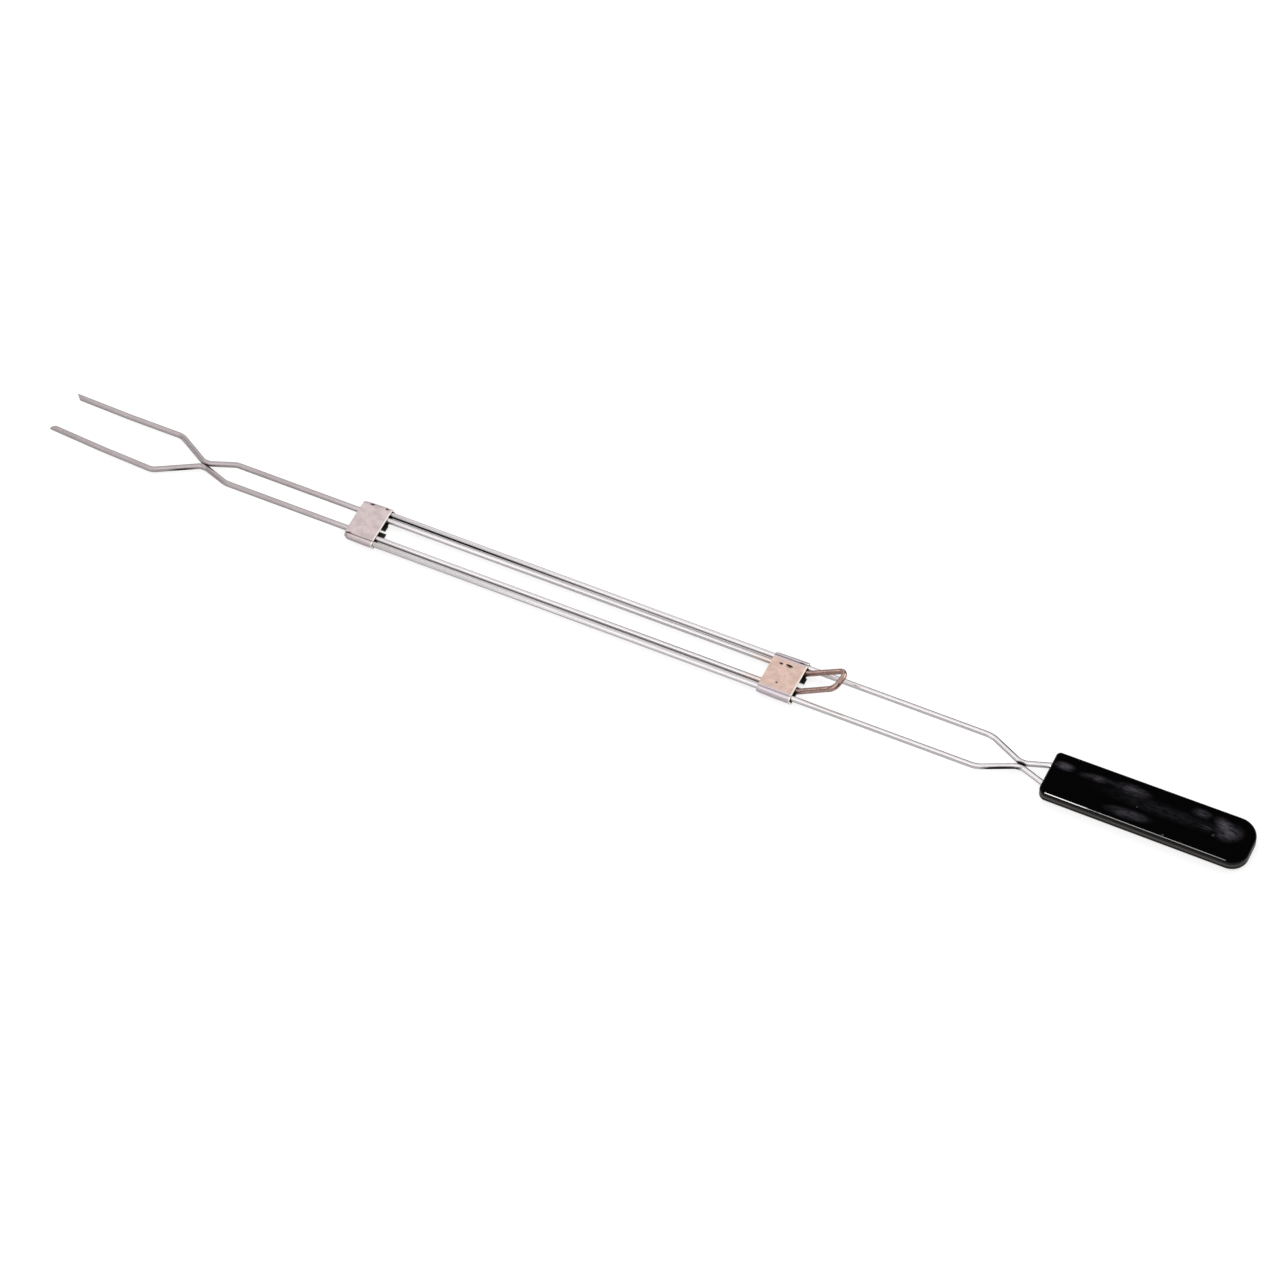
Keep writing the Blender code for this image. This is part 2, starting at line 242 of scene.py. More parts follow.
class Finish:
    """A material, with short ways to add the nodes that vary its surface."""

    def __init__(self, name, **constants):
        self.material = bpy.data.materials.new(name)
        self.material.use_nodes = True
        self.tree = self.material.node_tree
        self.shader = self.tree.nodes["Principled BSDF"]
        self.place = self.node("ShaderNodeTexCoord").outputs["Object"]
        for socket, value in constants.items():
            self.shader.inputs[socket.replace("_", " ")].default_value = value

    def node(self, kind, **settings):
        made = self.tree.nodes.new(kind)
        for name, value in settings.items():
            setattr(made, name, value)
        return made

    def link(self, source, target):
        self.tree.links.new(source, target)

    def stretched(self, scale):
        """Object coordinates times this scale along each axis."""
        mapping = self.node("ShaderNodeMapping")
        mapping.inputs["Scale"].default_value = scale
        self.link(self.place, mapping.inputs["Vector"])
        return mapping.outputs["Vector"]

    def noise(self, scale, detail=3.0, roughness=0.5):
        """Noise from 0 to 1, with this many features a metre along each axis."""
        noise = self.node("ShaderNodeTexNoise")
        noise.inputs["Scale"].default_value = 1.0
        noise.inputs["Detail"].default_value = detail
        noise.inputs["Roughness"].default_value = roughness
        self.link(self.stretched(scale), noise.inputs["Vector"])
        return noise.outputs["Fac"]

    def remap(self, value, old, new):
        """The value moved from one range to another, smoothly and within it."""
        node = self.node("ShaderNodeMapRange", interpolation_type="SMOOTHSTEP")
        self.link(value, node.inputs["Value"])
        node.inputs["From Min"].default_value, node.inputs["From Max"].default_value = old
        node.inputs["To Min"].default_value, node.inputs["To Max"].default_value = new
        return node.outputs["Result"]

    def math(self, operation, first, second):
        node = self.node("ShaderNodeMath", operation=operation)
        for socket, value in zip(node.inputs, (first, second)):
            if isinstance(value, (int, float)):
                socket.default_value = value
            else:
                self.link(value, socket)
        return node.outputs["Value"]

    def along(self, axis):
        """The object coordinate along X, Y or Z."""
        node = self.node("ShaderNodeSeparateXYZ")
        self.link(self.place, node.inputs["Vector"])
        return node.outputs[axis]

    def mix(self, amount, first, second):
        """Two colours mixed by an amount from 0 to 1. A colour is a value or a socket."""
        node = self.node("ShaderNodeMix", data_type="RGBA")
        self.link(amount, node.inputs["Factor"])
        for name, value in (("A", first), ("B", second)):
            socket = next(s for s in node.inputs if s.name == name and s.type == "RGBA")
            if isinstance(value, tuple):
                socket.default_value = (*value, 1.0)
            else:
                self.link(value, socket)
        return next(s for s in node.outputs if s.type == "RGBA")

    def spot(self, centre, radii, angle=0.0):
        """1 at the centre of a soft oval on the X-Y plane, and 0 outside it."""
        shift = self.node("ShaderNodeVectorMath", operation="SUBTRACT")
        shift.inputs[1].default_value = (*centre, 0.0)
        self.link(self.place, shift.inputs[0])
        turn = self.node("ShaderNodeVectorRotate", rotation_type="Z_AXIS")
        turn.inputs["Angle"].default_value = -angle
        self.link(shift.outputs["Vector"], turn.inputs["Vector"])
        scale = self.node("ShaderNodeVectorMath", operation="MULTIPLY")
        scale.inputs[1].default_value = (1 / radii[0], 1 / radii[1], 0.0)
        self.link(turn.outputs["Vector"], scale.inputs[0])
        length = self.node("ShaderNodeVectorMath", operation="LENGTH")
        self.link(scale.outputs["Vector"], length.inputs[0])
        return self.remap(length.outputs["Value"], (0.0, 1.0), (1.0, 0.0))

    def total(self, values):
        result = values[0]
        for value in values[1:]:
            result = self.math("ADD", result, value)
        return result

    def marks(self, marks):
        """Amount of all these marks together: each is centre, radii, turn and strength."""
        return self.total(
            [self.math("MULTIPLY", self.spot(*mark[:3]), mark[3]) for mark in marks]
        )

    def color(self, value):
        self.link(value, self.shader.inputs["Base Color"])

    def roughness(self, value):
        self.link(value, self.shader.inputs["Roughness"])

    def bump(self, height, distance, strength=1.0):
        node = self.node("ShaderNodeBump")
        node.inputs["Strength"].default_value = strength
        node.inputs["Distance"].default_value = distance
        self.link(height, node.inputs["Height"])
        self.link(node.outputs["Normal"], self.shader.inputs["Normal"])


# Painted shade on the wires: (x, y), (half length, half width), turn, strength. It darkens the near
# side of two bends, the crevices of the waists and one far side.
WIRE_SHADE_MARKS = (
    ((-0.2732, -0.0083), (0.0130, 0.0011), 0.475, 3.0),
    ((0.2127, -0.0073), (0.0135, 0.0013), 0.449, 3.5),
    ((-0.2600, -0.0013), (0.0072, 0.0013), -0.25, 1.8),
    ((0.2212, 0.0002), (0.0050, 0.0013), 0.00, 1.8),
    ((0.2108, 0.0069), (0.0125, 0.0008), -0.45, 1.5),
)
# Painted shade in the gap between each rod and its rail: limits across, limits along, strength.
WIRE_GAP_SHADE_LINES = (
    ((0.0073, 0.0079, 0.0096, 0.0100), (-0.176, -0.168, -0.140, 0.000), 0.97),
    ((0.0073, 0.0079, 0.0096, 0.0100), (-0.176, -0.168, 0.060, 0.120), 0.18),
    ((-0.0098, -0.0094, -0.0084, -0.0079), (-0.176, -0.168, 0.060, 0.120), 0.45),
)
# The greatest amount of painted shade on the wires, and its colour.
MOST_WIRE_SHADE = 0.97
WIRE_SHADE_COLOR = (0.018, 0.014, 0.014)
# The plating is rougher from the second place to the tines, and painted darker there as shade.
# The brazed tint lies on the rods only.
DULL_AND_SHADED_X = (-0.120, -0.200)
BRAZED_X = (0.060, 0.073, 0.090, 0.100)
BRAZED_STRENGTH = 0.4
BRAZED_COLOR = (0.74, 0.47, 0.34)
RODS_Y = (-0.0090, -0.0087, 0.0087, 0.0090)


def band(finish, value, limits):
    """1 between the middle two of these four limits, and 0 outside the outer two."""
    rising = finish.remap(value, limits[:2], (0.0, 1.0))
    falling = finish.remap(value, limits[2:], (1.0, 0.0))
    return finish.math("MULTIPLY", rising, falling)


def painted_wire_shade(finish, x, y):
    """Painted shade: its marks, and its lines between rods and rails."""
    lines = []
    for across, along, strength in WIRE_GAP_SHADE_LINES:
        line = finish.math("MULTIPLY", band(finish, y, across), band(finish, x, along))
        lines.append(finish.math("MULTIPLY", line, strength))
    return finish.math("MINIMUM", finish.total([finish.marks(WIRE_SHADE_MARKS), *lines]), MOST_WIRE_SHADE)


def wire_finish():
    """Plated wire: fine draw lines, dull towards the tines, brazed by the rear clip, with painted
    shade.
    """
    finish = Finish("chrome_wire", Metallic=1.0)
    lines = finish.noise((30.0, 4200.0, 4200.0), detail=2.0)
    blotches = finish.noise((90.0, 420.0, 420.0), detail=4.0, roughness=0.6)
    x = finish.along("X")
    y = finish.along("Y")
    # Painted shade: the plating's colour turns darker towards the tines.
    dull_and_shaded = finish.remap(x, DULL_AND_SHADED_X, (0.0, 1.0))
    bright = finish.mix(blotches, (0.84, 0.80, 0.81), (0.74, 0.70, 0.71))
    shaded_plating = finish.mix(blotches, (0.62, 0.55, 0.56), (0.48, 0.42, 0.435))
    brazed = finish.math("MULTIPLY", band(finish, x, BRAZED_X), band(finish, y, RODS_Y))
    brazed = finish.math("MULTIPLY", brazed, BRAZED_STRENGTH)
    # Painted shade: dark on the near side of bends, in the waists and in the gaps between rods and
    # rails.
    wire_shade = painted_wire_shade(finish, x, y)
    plating = finish.mix(brazed, finish.mix(dull_and_shaded, bright, shaded_plating), BRAZED_COLOR)
    finish.color(finish.mix(wire_shade, plating, WIRE_SHADE_COLOR))
    fine = finish.remap(lines, (0.3, 0.7), (0.12, 0.20))
    wear = finish.math("MULTIPLY", blotches, 0.06)
    coarse = finish.math("MULTIPLY", finish.math("ADD", dull_and_shaded, wire_shade), 0.22)
    finish.roughness(finish.total([fine, coarse, wear]))
    finish.bump(finish.math("ADD", lines, blotches), 0.00002, 0.2)
    return finish.material


# Painted shade in the clips' dents, and one more dark mark by a fold, as above. A fold line runs
# along each side of a clip: its place, depth and the strength of painted shade in it. The lobes'
# painted shade, darker and cooler, comes in between two places on each side.
FRONT_CLIP_SHADE_MARKS = (
    ((-0.1666, 0.0121), (0.0019, 0.0014), 0.3, 1.3),
    ((-0.1579, 0.0122), (0.0013, 0.0012), 0.0, 1.2),
    ((-0.1698, -0.0108), (0.0022, 0.0009), 0.1, 0.8),
)
FRONT_CLIP_FOLDS = {1: (0.0118, 0.00008, 0.15), -1: (-0.0112, 0.00035, 0.75)}
FRONT_CLIP_LOBE_SHADE = {1: (0.0118, 0.0130), -1: (-0.0112, -0.0124)}
REAR_CLIP_SHADE_MARKS = (
    ((0.0799, 0.0063), (0.0015, 0.0010), 0.0, 2.0),
    ((0.0827, -0.0063), (0.0010, 0.0009), 0.0, 1.2),
    ((0.0900, 0.0110), (0.0024, 0.0008), 0.0, 0.7),
)
REAR_CLIP_FOLDS = {1: (0.0109, 0.00025, 0.80), -1: (-0.0119, 0.00016, 0.55)}
REAR_CLIP_LOBE_SHADE = {1: (0.0082, 0.0104), -1: (-0.0094, -0.0118)}
# A painted highlight along each clip's rear edge: its widths and colour.
REAR_EDGE_HIGHLIGHT = (0.0010, 0.0004)
REAR_EDGE_HIGHLIGHT_COLOR = (1.0, 0.95, 0.87)
# Painted shade on the clips: its colour, the rise where it starts and its width at a fold.
CLIP_SHADE_COLOR = (0.055, 0.042, 0.042)
CLIP_SHADE_RISE = (0.0014, 0.0020)
FOLD_SHADE_WIDTH = 0.0006
MOTTLE = 0.80


def clip_finish(name, face, lobe_shade_color, marks, folds, lobe_shade_limits, rear_x):
    """Satin plated sheet with painted shade in dents, folds and lobes, and a painted rear-edge
    highlight.
    """
    finish = Finish(name, Metallic=1.0)
    grain = finish.noise((900.0, 2600.0, 900.0), detail=4.0, roughness=0.65)
    clouds = finish.noise((260.0, 260.0, 260.0), detail=4.0, roughness=0.6)
    x, y, z = (finish.along(axis) for axis in "XYZ")
    # Painted shade: the lobes take a darker, cooler colour than the face of the same sheet.
    on_shaded_lobe = finish.math("MAXIMUM", *(finish.remap(y, lobe_shade_limits[side], (0.0, 1.0)) for side in lobe_shade_limits))
    mottled = finish.remap(clouds, (0.3, 0.7), (0.0, 1.0))
    dimmer = tuple(MOTTLE * c for c in face)
    plating = finish.mix(on_shaded_lobe, finish.mix(mottled, face, dimmer), lobe_shade_color)
    # Painted highlight: near white along the rear edge.
    rear_edge_highlight = finish.remap(x, [rear_x - width for width in REAR_EDGE_HIGHLIGHT], (0.0, 1.0))
    plating = finish.mix(rear_edge_highlight, plating, REAR_EDGE_HIGHLIGHT_COLOR)
    # Painted shade in the dents and along the folds, on the top face only.
    lines = []
    for fold_y, _, clip_shade in folds.values():
        distance = finish.math("ABSOLUTE", finish.math("SUBTRACT", y, fold_y), 0.0)
        lines.append(finish.remap(distance, (0.0, FOLD_SHADE_WIDTH), (clip_shade, 0.0)))
    upper = finish.remap(z, [PLANE_Z + rise for rise in CLIP_SHADE_RISE], (0.0, 1.0))
    clip_shade = finish.math("MULTIPLY", finish.total([finish.marks(marks), *lines]), upper)
    clip_shade = finish.math("MINIMUM", clip_shade, 1.0)
    finish.color(finish.mix(clip_shade, plating, CLIP_SHADE_COLOR))
    gloss = finish.remap(grain, (0.25, 0.75), (0.26, 0.40))
    finish.roughness(finish.math("ADD", gloss, finish.math("MULTIPLY", clip_shade, 0.15)))
    finish.bump(grain, 0.00003, 0.35)
    return finish.material


def inside_shade_finish():
    """The clips' unplated inner side, painted near black as the shade inside them."""
    finish = Finish("clip_inside_shade", Metallic=0.2)
    patches = finish.noise((600.0, 600.0, 600.0), detail=4.0)
    finish.color(finish.mix(patches, (0.006, 0.005, 0.005), (0.022, 0.018, 0.016)))
    finish.roughness(finish.remap(patches, (0.2, 0.8), (0.45, 0.75)))
    finish.bump(patches, 0.00006, 0.5)
    return finish.material


def copper_finish():
    """Copper-washed wire, browned unevenly."""
    finish = Finish("copper_wire", Metallic=1.0)
    tarnish = finish.noise((420.0, 420.0, 420.0), detail=4.0, roughness=0.6)
    lines = finish.noise((900.0, 4200.0, 900.0), detail=2.0)
    finish.color(finish.mix(tarnish, (0.74, 0.51, 0.45), (0.30, 0.19, 0.165)))
    finish.roughness(finish.remap(tarnish, (0.3, 0.7), (0.20, 0.34)))
    finish.bump(finish.math("ADD", lines, tarnish), 0.00003, 0.3)
    return finish.material


# Smears of handling haze on the grip's top, and thin scratches and specks there, as above.
HAZE = (
    ((0.2437, 0.0060), (0.0072, 0.0034), 0.05, 0.95),
    ((0.2620, 0.0058), (0.0120, 0.0030), 0.10, 0.50),
    ((0.2820, 0.0066), (0.0130, 0.0044), 0.00, 0.62),
    ((0.2853, -0.0088), (0.0160, 0.0042), 0.05, 0.55),
    ((0.3203, 0.0079), (0.0070, 0.0038), 0.00, 0.60),
    ((0.3335, 0.0062), (0.0076, 0.0044), -0.35, 0.85),
    ((0.3378, 0.0022), (0.0095, 0.0074), 0.35, 0.85),
    ((0.3030, 0.0010), (0.0500, 0.0060), 0.00, 0.14),
)
SCRATCHES = (
    ((0.3262, 0.0008), (0.0046, 0.0004), -0.10, 0.60),
    ((0.3262, -0.0006), (0.0040, 0.0003), 0.05, 0.40),
    ((0.2880, -0.0025), (0.0007, 0.0006), 0.00, 0.80),
    ((0.3068, -0.0135), (0.0007, 0.0006), 0.00, 0.80),
)
HAZE_Z = (0.0068, 0.0078)
# A brownish band round the grip's side wall: painted reflection of the table.
WALL_REFLECTION_Z = (0.0030, 0.0035, 0.0045, 0.0050)
HAZE_COLOR = (0.115, 0.103, 0.123)
PLASTIC_COLOR = (0.0008, 0.0008, 0.0010)
WALL_REFLECTION_COLOR = (0.042, 0.035, 0.030)


def plastic_finish():
    """Gloss black moulding with smears of haze, hair scratches, slight moulding waves, and a
    painted reflection of the table along its side.
    """
    finish = Finish("black_plastic", Metallic=0.0, Specular_IOR_Level=0.2)
    smoke = finish.noise((230.0, 640.0, 400.0), detail=6.0, roughness=0.68)
    cloud = finish.remap(smoke, (0.30, 0.66), (0.05, 1.0))
    on_top = finish.remap(finish.along("Z"), HAZE_Z, (0.0, 1.0))
    haze = finish.math("MULTIPLY", finish.math("MULTIPLY", finish.marks(HAZE), cloud), on_top)
    nicks = finish.math("MULTIPLY", finish.marks(SCRATCHES), on_top)
    marks = finish.math("ADD", haze, nicks)
    # Painted reflection: a brownish band round the side wall.
    wall_reflection = band(finish, finish.along("Z"), WALL_REFLECTION_Z)
    base = finish.mix(wall_reflection, PLASTIC_COLOR, WALL_REFLECTION_COLOR)
    finish.color(finish.mix(marks, base, HAZE_COLOR))
    hairs = finish.noise((140.0, 5200.0, 900.0), detail=2.0)
    fine = finish.remap(hairs, (0.45, 0.75), (0.05, 0.11))
    finish.roughness(finish.math("ADD", fine, finish.math("MULTIPLY", marks, 0.25)))
    waves = finish.noise((55.0, 90.0, 90.0), detail=1.0)
    finish.bump(finish.math("ADD", waves, finish.math("MULTIPLY", hairs, 0.02)), 0.0001, 0.15)
    return finish.material


def steel_finish():
    """The grip pin's turned end."""
    finish = Finish("pin_steel", Metallic=1.0)
    turned = finish.noise((5000.0, 5000.0, 200.0), detail=2.0)
    finish.color(finish.mix(turned, (0.52, 0.52, 0.54), (0.36, 0.36, 0.38)))
    finish.roughness(finish.remap(turned, (0.2, 0.8), (0.25, 0.45)))
    finish.bump(turned, 0.00002, 0.4)
    return finish.material


# ---------------------------------------------------------------------------------------------
# Wires
# ---------------------------------------------------------------------------------------------


def fork_rod_corners(side):
    """Corners of one rod of the fork, from its tine's tip to its end in the rear clip."""
    tip_x = TINE_TIP_X[side]
    bend_x = TINE_BEND_X[side]
    tip = (tip_x, side * TINE_TIP_OFFSET, PLANE_Z + TINE_TIP_RISE)
    middle_y = side * (TINE_TIP_OFFSET + TINE_BEND_OFFSET) / 2
    middle = ((tip_x + bend_x) / 2, middle_y, PLANE_Z - TINE_MID_DROP)
    waist_z = PLANE_Z - WAIST_DROP
    return [
        (*tip, 0.0),
        (*middle, TINE_BOW_RADIUS),
        (bend_x, side * TINE_BEND_OFFSET, PLANE_Z - TINE_BEND_DROP, TINE_BEND_RADIUS),
        (FORK_WAIST_X[0], side * WAIST_OFFSET, waist_z, 0.004),
        (FORK_WAIST_X[1], side * WAIST_OFFSET, waist_z, 0.006),
        (FORK_SPREAD_X, side * ROD_OFFSET, PLANE_Z, 0.010),
        (ROD_END_X, side * ROD_OFFSET, PLANE_Z, 0.0),
    ]


def rail_corners(side):
    """Corners of one rail, from its end in the front clip to its hook inside the grip."""
    return [
        (FRONT_CLIP_LOW.x + RAIL_START, side * RAIL_OFFSET, PLANE_Z, 0.0),
        (RAIL_BEND_X, side * RAIL_OFFSET, PLANE_Z, 0.014),
        (RAIL_WAIST_X[0], side * WAIST_OFFSET, PLANE_Z, 0.008),
        (RAIL_WAIST_X[1], side * WAIST_OFFSET, PLANE_Z, 0.006),
        (RAIL_IN_GRIP_X[0], side * RAIL_IN_GRIP_OFFSET, PLANE_Z, 0.010),
        (RAIL_IN_GRIP_X[1], side * RAIL_IN_GRIP_OFFSET, PLANE_Z, 0.003),
        (RAIL_HOOK_END[0], side * RAIL_HOOK_END[1], PLANE_Z, 0.0),
    ]


def loop_leg_corners(side):
    """Corners of one leg of the thumb loop, from its end inside the rear clip to its top."""
    leg_y = LOOP_MIDDLE_Y + side * LOOP_OFFSET
    top_x = LOOP_END_X[side]
    return [
        (ROD_END_X + BUTT_GAP, leg_y, PLANE_Z, 0.0),
        (LOOP_BEND_X, leg_y, PLANE_Z, 0.003),
        (top_x, leg_y - side * 0.0002, PLANE_Z + LOOP_RISE * (top_x - LOOP_BEND_X), 0.0045),
    ]


def soften_ends(obj, width):
    """Breaks the sharp edges of a wire's ends."""
    bevel = obj.modifiers.new("broken_edge", "BEVEL")
    bevel.limit_method = "ANGLE"
    bevel.angle_limit = math.radians(35)
    bevel.width = width
    bevel.segments = 3


def add_fork_rod(name, side, finish):
    """One fork rod. Its tine ends in a chisel cut at 45 degrees with the point outside."""
    corners = fork_rod_corners(side)
    rod = add_mesh(name, wire_bmesh(bent_path(corners), WIRE_RADIUS), finish)
    across = Vector((-1.0, -side, 0.0)).normalized()
    point = Vector(corners[0][:3]) + Vector((0.0, side * WIRE_RADIUS, 0.0))
    bm = bmesh.new()
    spot = Matrix.Translation(point + across * TIP_CUT_SIZE / 2)
    turned = Matrix.Rotation(math.radians(45) * side, 4, "Z")
    bmesh.ops.create_cube(bm, size=TIP_CUT_SIZE, matrix=spot @ turned)
    cut(rod, add_cutter(name + "_tip_cut", bm))
    soften_ends(rod, TIP_EDGE)
    apply_modifiers(rod)
    shade(rod)
    return rod


def add_wire(name, corners, finish):
    """A bent wire, with the edges of its ends broken."""
    wire = add_mesh(name, wire_bmesh(bent_path(corners), WIRE_RADIUS), finish)
    soften_ends(wire, WIRE_EDGE)
    apply_modifiers(wire)
    shade(wire)
    return wire


# ---------------------------------------------------------------------------------------------
# Clips
# ---------------------------------------------------------------------------------------------

LOBE_STEPS = 28
CLIP_TOP_STEPS = 96
CLIP_FLAP_STEPS = 40
CLIP_LENGTH_STEPS = 64

# A clip's width changes over 1 / CLIP_TAPER of its length. FLAP_SHARPNESS is the power of the
# distance along it by which a flap's end sticks out.
CLIP_TAPER = 1.6
CLIP_PINCH_LENGTH = 0.0011
SHEET_EDGE = 0.00028
FLAP_SHARPNESS = 12
FLAP_TAB_WIDTH = 0.0040
FOLD_WIDTH = 0.00040
LOWER_LAYER_REACH = 0.0008

# Dents in the clips' top faces: x, y, half length, half width, depth.
FRONT_CLIP_DENTS = (
    (-0.1666, 0.0121, 0.0018, 0.0013, 0.00050),
    (-0.1579, 0.0122, 0.0010, 0.0010, 0.00030),
    (-0.1698, -0.0108, 0.0030, 0.0010, 0.00025),
)
REAR_CLIP_DENTS = (
    (0.0845, 0.0060, 0.0032, 0.0012, 0.00030),
    (0.0845, 0.0052, 0.0026, 0.0006, -0.00022),
    (0.0799, 0.0063, 0.0012, 0.0010, 0.00035),
    (0.0827, -0.0063, 0.0009, 0.0009, 0.00035),
)
SLOT_PLACE = (0.0846, 0.0066)
SLOT_SIZE = (0.0044, 0.0014)
SLOT_DEPTH = 0.0006
SLOT_TURN = math.radians(-4)


def clip_profile(seam, half_width, half_height):
    """(y, z) round a clip from one lip of its seam to the other, about the wires' plane."""
    lobe_y = {side: side * (half_width[side] - half_height) for side in (1, -1)}
    profile = []
    for i in range(CLIP_FLAP_STEPS):
        t = i / CLIP_FLAP_STEPS
        profile.append((seam / 2 + t * (lobe_y[1] - seam / 2), -half_height))
    for i in range(LOBE_STEPS + 1):
        angle = math.pi * i / LOBE_STEPS - math.pi / 2
        profile.append(
            (lobe_y[1] + half_height * math.cos(angle), half_height * math.sin(angle))
        )
    for i in range(1, CLIP_TOP_STEPS):
        t = i / CLIP_TOP_STEPS
        profile.append((lobe_y[1] + t * (lobe_y[-1] - lobe_y[1]), half_height))
    for i in range(LOBE_STEPS + 1):
        angle = math.pi / 2 - math.pi * i / LOBE_STEPS
        profile.append(
            (lobe_y[-1] - half_height * math.cos(angle), half_height * math.sin(angle))
        )
    for i in range(1, CLIP_FLAP_STEPS + 1):
        t = i / CLIP_FLAP_STEPS
        profile.append((lobe_y[-1] + t * (-seam / 2 - lobe_y[-1]), -half_height))
    return profile


def dent_depth(x, y, dents):
    """How far these dents press the top face in at this place."""
    depth = 0.0
    for dent_x, dent_y, length, width, deep in dents:
        r = math.hypot((x - dent_x) / length, (y - dent_y) / width)
        if r < 1.0:
            depth += deep * (0.5 + 0.5 * math.cos(math.pi * r))
    return depth


def add_clip(name, low, high, seam, widths, pinch, flap_ends, dents, folds, finishes):
    """Folded sheet-metal clip.

    widths gives the half width on each side at the front and rear end, pinch how far each side
    is squeezed in at its front corner, and flap_ends how far each bottom flap sticks out at the
    rear end beside the seam.
    """
    half_height = (high.z - low.z) / 2
    bm = bmesh.new()
    rings = []
    for i in range(CLIP_LENGTH_STEPS + 1):
        t = i / CLIP_LENGTH_STEPS
        x = low.x + t * (high.x - low.x)
        squeeze = math.exp(-(((x - low.x) / CLIP_PINCH_LENGTH) ** 2))
        half_width = {}
        for side in (1, -1):
            front, rear = widths[side]
            taper = (rear - front) * min(1.0, t * CLIP_TAPER)
            half_width[side] = front + taper - pinch[side] * squeeze
        ring = []
        for y, z in clip_profile(seam, half_width, half_height):
            side = 1 if y > 0 else -1
            fold_y, fold_depth, _ = folds[side]
            beside_seam = abs(y) - seam / 2
            reach = 0.0
            if z > 0.5 * half_height:
                z -= dent_depth(x, y, dents)
                z -= fold_depth * math.exp(-(((y - fold_y) / FOLD_WIDTH) ** 2))
            elif z < -half_height + 1e-6 and beside_seam < FLAP_TAB_WIDTH:
                reach = flap_ends[side]
            elif z < 0.0:
                reach = LOWER_LAYER_REACH
            ring.append(bm.verts.new((x + reach * t**FLAP_SHARPNESS, y, PLANE_Z + z)))
        rings.append(ring)
    for first, second in zip(rings, rings[1:]):
        for i in range(len(first) - 1):
            bm.faces.new((first[i], first[i + 1], second[i + 1], second[i]))
    clip = add_mesh(name, bm, finishes)
    sheet = clip.modifiers.new("sheet", "SOLIDIFY")
    sheet.thickness = SHEET
    sheet.offset = -1.0
    sheet.use_even_offset = True
    # The sheet's inner faces take the second finish: painted shade inside the clip.
    sheet.material_offset = 1
    sheet.material_offset_rim = 0
    edge = clip.modifiers.new("broken_edge", "BEVEL")
    edge.limit_method = "ANGLE"
    edge.angle_limit = math.radians(50)
    edge.width = SHEET_EDGE
    edge.segments = 3
    edge.material = 0
    return clip


def lens_bmesh(x, y, length, width, low, high, turn):
    """Upright prism whose section is a lens with pointed ends."""
    bm = bmesh.new()
    steps = 16
    outline = []
    for i in range(2 * steps):
        t = math.pi * i / steps
        along = length / 2 * math.cos(t)
        across = width / 2 * math.sin(t) * (1.0 - 0.35 * abs(math.cos(t)))
        outline.append(
            (
                x + along * math.cos(turn) - across * math.sin(turn),
                y + along * math.sin(turn) + across * math.cos(turn),
            )
        )
    base = bm.faces.new([bm.verts.new((*point, low)) for point in outline])
    raised = bmesh.ops.extrude_face_region(bm, geom=[base])["geom"]
    moved = [item for item in raised if isinstance(item, bmesh.types.BMVert)]
    bmesh.ops.translate(bm, verts=moved, vec=(0.0, 0.0, high - low))
    bmesh.ops.recalc_face_normals(bm, faces=bm.faces)
    return bm


def add_front_clip(finishes):
    """The clip crimped on the rails' front ends."""
    clip = add_clip(
        "front_clip_sheet",
        FRONT_CLIP_LOW,
        FRONT_CLIP_HIGH,
        FRONT_CLIP_SEAM,
        widths={1: (0.0137, 0.0142), -1: (0.0134, 0.0136)},
        pinch={1: 0.0004, -1: 0.0012},
        flap_ends={1: 0.0013, -1: 0.0028},
        dents=FRONT_CLIP_DENTS,
        folds=FRONT_CLIP_FOLDS,
        finishes=finishes,
    )
    shade(clip)
    return clip


def add_rear_clip(finishes):
    """The clip crimped on the rods' rear ends, with a punched slot over the thumb loop's leg."""
    clip = add_clip(
        "rear_clip_sheet",
        REAR_CLIP_LOW,
        REAR_CLIP_HIGH,
        REAR_CLIP_SEAM,
        widths={1: (0.0137, 0.0140), -1: (0.0142, 0.0145)},
        pinch={1: 0.0003, -1: 0.0003},
        flap_ends={1: 0.0018, -1: 0.0010},
        dents=REAR_CLIP_DENTS,
        folds=REAR_CLIP_FOLDS,
        finishes=finishes,
    )
    top = REAR_CLIP_HIGH.z
    slot = lens_bmesh(*SLOT_PLACE, *SLOT_SIZE, top - SLOT_DEPTH, top + CUT_PAST, SLOT_TURN)
    # The slot's walls take the inside finish too: painted shade in the slot.
    for face in slot.faces:
        face.material_index = 1
    cut(clip, add_cutter("punched_slot", slot))
    apply_modifiers(clip)
    shade(clip)
    return clip


# ---------------------------------------------------------------------------------------------
# Grip
# ---------------------------------------------------------------------------------------------


def grip_outline(inset=0.0):
    """Outline of the grip seen from above, drawn in by the inset."""
    front = GRIP_FRONT_WIDTH / 2 - inset
    rear = (GRIP_HIGH.y - GRIP_LOW.y) / 2 - inset
    front_x = GRIP_LOW.x + inset
    rear_x = GRIP_HIGH.x - inset
    corners = [
        (front_x, -front, GRIP_FRONT_CORNER[-1]),
        (rear_x, -rear, GRIP_REAR_CORNER[-1]),
        (rear_x, rear, GRIP_REAR_CORNER[1]),
        (front_x, front, GRIP_FRONT_CORNER[1]),
    ]
    places = [Vector((x, y, 0.0)) for x, y, _ in corners]
    points = []
    for i in range(4):
        radius = max(0.0004, corners[i][2] - inset)
        points += arc(places[i - 1], places[i], places[(i + 1) % 4], radius)
    return points


